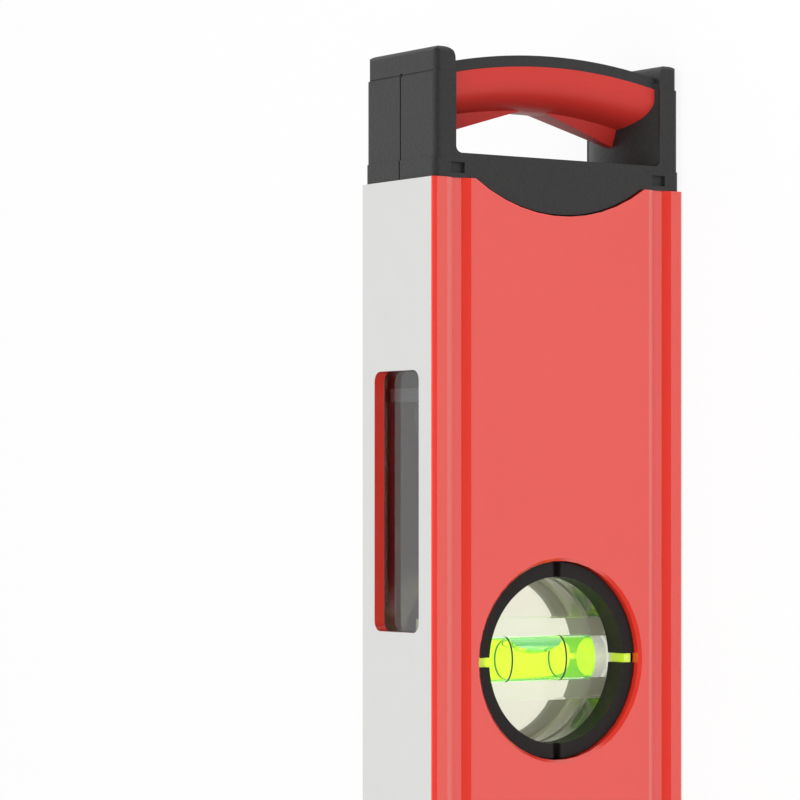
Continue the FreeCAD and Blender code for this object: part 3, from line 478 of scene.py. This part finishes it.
ring_black = moulding("ring_black", (0.019, 0.016, 0.016), 0.9 * mm, 0.01 * mm, 0.5, 0.17)
clear_tint = (0.94, 0.93, 0.82)
acrylic = new_finish("clear_acrylic", clear_tint, 0.02, IOR=acrylic_index, Transmission_Weight=0.97)
# The rear faces are milky and also glow faintly: the glow is painted light, a veil of scattered light.
milky_painted_glow = new_finish("milky_acrylic_painted_glow", (0.93, 0.90, 0.76), 0.06, IOR=acrylic_index, Transmission_Weight=0.72,
                   Emission_Color=(1.0, 0.95, 0.75, 1), Emission_Strength=0.09)
# The tabs are yellow-green and glow: the glow is painted light.
tab_painted_glow = new_finish("tab_painted_glow", (0.75, 0.9, 0.1), 0.1, IOR=acrylic_index, Transmission_Weight=0.5,
                     Emission_Color=(0.55, 0.8, 0.0, 1), Emission_Strength=0.2)
# The spirit glows: painted light standing in for its fluorescence.
spirit = new_finish("fluorescent_spirit", (1.0, 1.0, 0.0), 0.0, IOR=spirit_index / acrylic_index,
                    Transmission_Weight=1.0)
wet = add_node(spirit, "ShaderNodeAttribute", {}, attribute_name="wet").outputs["Fac"]
wire(spirit, blend_colour(spirit, wet, (0.9, 1.0, 0.85), (1.0, 1.0, 0.0)), "Base Color")
# Over the bubble, where the wall is dry, the glow is whiter and brighter: a painted highlight in the bubble.
wire(spirit, blend_colour(spirit, wet, (0.25, 1.0, 0.3), (0.0, 1.0, 0.04)), "Emission Color")
wire(spirit, spread(spirit, wet, 0.32, 0.25), "Emission Strength")
bubble_face = new_finish("bubble_face", (0.93, 1.0, 0.88), 0.0, IOR=spirit_index, Transmission_Weight=1.0)
printed_black = new_finish("printed_black", (0.01, 0.01, 0.01), 0.4)
# The plug glows faintly: painted light, which brightens it where the clear acrylic keeps the lamps' light
# from it.
plug_white = new_finish("plug_white", (0.88, 0.89, 0.87), 0.3, Emission_Color=(1.0, 1.0, 0.97, 1),
                        Emission_Strength=0.3)
for side, sign in (("right", 1), ("left", -1)):
    dress(ring_black, "plumb_ring_front_" + side, "plumb_ring_rear_" + side)
    dress(printed_black, "plumb_marks_" + side)
    low, high = (np.array(corner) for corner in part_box("plumb_body_" + side))
    centre = (low + high) / 2
    downward = np.array((0.0, 0.0, -1.0))
    outward = np.array((sign * 1.0, 0.0, 0.0))
    clear_block("plumb_" + side, "plumb_body_" + side, centre, downward)
    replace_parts(fill_vial("plumb_" + side, centre, downward, outward, vial_length), "plumb_liquid_" + side)
    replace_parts(close_vial("plumb_" + side, centre, downward, outward, vial_length), "plumb_plug_" + side)


# Edge window: a clear pane behind the milled edge, and under it a mirror on a black bracket,
# which shows the plumb vial to someone who looks at the edge.
pane_clear = new_finish("pane_clear", (0.95, 0.96, 0.95), 0.03, IOR=acrylic_index,
                        Transmission_Weight=1.0)
silvered = new_finish("silvered", (0.88, 0.88, 0.88), 0.03, Metallic=1.0)
dress(pane_clear, "window_pane")
dress(silvered, "mirror")
dress(cap_black, "mirror_bracket")


# Horizontal vial: the same clear block and spirit, set in a black frame in the upper edge.
dress(cap_black, "level_holder")
dress(printed_black, "level_marks")
level_length = 38.0 * mm
low, high = (np.array(corner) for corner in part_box("level_block"))
centre = (low + high) / 2
endways = np.array((1.0, 0.0, 0.0))
skyward = np.array((0.0, 0.0, 1.0))
clear_block("level", "level_block", centre, endways)
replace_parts(fill_vial("level", centre, endways, skyward, level_length), "level_liquid")
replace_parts(close_vial("level", centre, endways, skyward, level_length), "level_plug")


# Electronic module: two black housings drawn together by four screws, a clear lens over the
# liquid-crystal panel, and the board with its tilt sensor, buzzer and switches inside.
housing_black = moulding("housing_black", (0.04, 0.04, 0.04), 0.35 * mm, 0.04 * mm, 0.5)
crystal = new_finish("crystal_panel", (0.33, 0.37, 0.32), 0.35)
board_green = new_finish("board_green", (0.02, 0.16, 0.07), 0.4)
chip_black = new_finish("chip_black", (0.02, 0.02, 0.02), 0.5)
screw_zinc = new_finish("screw_zinc", (0.6, 0.6, 0.58), 0.35, Metallic=1.0)
dress(housing_black, "module_front", "module_rear")
dress(pane_clear, "display_lens")
dress(crystal, "display_panel")
dress(board_green, "circuit_board")
dress(chip_black, "tilt_sensor", "buzzer", "switches")
dress(screw_zinc, "module_screws")


# Buttons: grey silicone-coated caps that stand a little proud of the bezel.
button_grey = moulding("button_grey", (0.16, 0.16, 0.165), 0.3 * mm, 0.02 * mm, 0.6)
dress(button_grey, "button_power", "button_hold", "button_unit", "button_light")


# Battery bay: two slim cells in printed jackets, nickel-plated contacts pressed into the ends
# of the bay, a wire spring at one end of each cell, and the hinged door.
bay_low, bay_high = 5.0 * mm, 59.0 * mm
cell_low, cell_high = 9.7 * mm, 54.3 * mm
nub_reach = 0.8 * mm
cell_y = 4.95 * mm
cell_rows = ((35.55 * mm, 1), (24.45 * mm, -1))
leaf_thick, leaf_seat = 0.4 * mm, 0.02 * mm
leaf_half_y, leaf_half_z = 4.0 * mm, 3.5 * mm
stud_radius = 1.9 * mm
coil_turns, coil_steps = 4.3, 172
coil_wide, coil_narrow, coil_wire = 2.8 * mm, 2.0 * mm, 0.26 * mm
climb_start, climb_share = 0.2, 0.68
wire_sides = 12


def leaf_grid(near, far, y, z):
    """Points of a flat contact: a rectangle moved along X from near to far, closed at its ends."""
    corners = np.array(((-1, 1), (-1, -1), (1, -1), (1, 1)))
    rows = [(near, 0), (near, 1), (far, 1), (far, 0)]
    return np.array([[(x, y + share * across * leaf_half_y, z + share * rise * leaf_half_z)
                      for across, rise in corners] for x, share in rows])


def coil_grid(start, end, y, z):
    """Points of a spring: a round wire swept along a cone-shaped helix from start to end.

    The helix lies flat for most of the first turn and for the last half turn, and climbs evenly
    in between. Its radius shrinks evenly from end to end. The wire's circle lies in the plane of
    radius and axis.
    """
    share = np.linspace(0, 1, coil_steps)[:, None, None]
    turn = math.tau * coil_turns * share
    climb = np.clip((share - climb_start) / climb_share, 0, 1)
    way = math.copysign(1.0, end - start)
    radius = coil_wide - coil_wire + (coil_narrow - coil_wide) * share
    first, last = start + way * coil_wire, end - way * coil_wire
    outward = np.concatenate((0 * turn, np.cos(turn), np.sin(turn)), axis=2)
    along = np.concatenate((first + (last - first) * climb, y + 0 * turn, z + 0 * turn), axis=2)
    angle = np.linspace(0, math.tau, wire_sides, endpoint=False)[None, :, None]
    thick = coil_wire * np.ones_like(share)
    thick[0] = thick[-1] = 0
    circle = np.cos(angle) * outward - np.sin(angle) * np.array((1.0, 0.0, 0.0))
    return along + radius * outward + thick * circle


cell_jacket = new_finish("cell_jacket", (0.08, 0.10, 0.12), 0.35)
contact_bright = new_finish("contact_bright", (0.75, 0.74, 0.70), 0.25, Metallic=1.0)
dress(cell_jacket, "battery_cells")
grids = []
for z, sign in cell_rows:
    sprung_wall, sprung_end = (bay_low, cell_low) if sign > 0 else (bay_high, cell_high)
    plain_wall, plain_end = (bay_high, cell_high + nub_reach) if sign > 0 else (bay_low, cell_low - nub_reach)
    for wall, way in ((sprung_wall, sign), (plain_wall, -sign)):
        faces = sorted((wall - way * leaf_seat, wall + way * leaf_thick))
        grids.append((leaf_grid(*faces, cell_y, z), 0))
    grids.append((coil_grid(sprung_wall + sign * leaf_thick, sprung_end, cell_y, z), 0))
    low_x, high_x = sorted((plain_wall - sign * leaf_thick, plain_end))
    stud_centre = np.array((0.0, cell_y, z))
    stud_steps = ((low_x, 0.0), (low_x, stud_radius), (high_x, stud_radius), (high_x, 0.0))
    grids.append((turned(stud_centre, endways, skyward, stud_steps), 0))
contacts = surface_mesh("wire_contacts", grids, [contact_bright])
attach(contacts, "level")
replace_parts(contacts, "battery_contacts")
dress(housing_black, "battery_door")
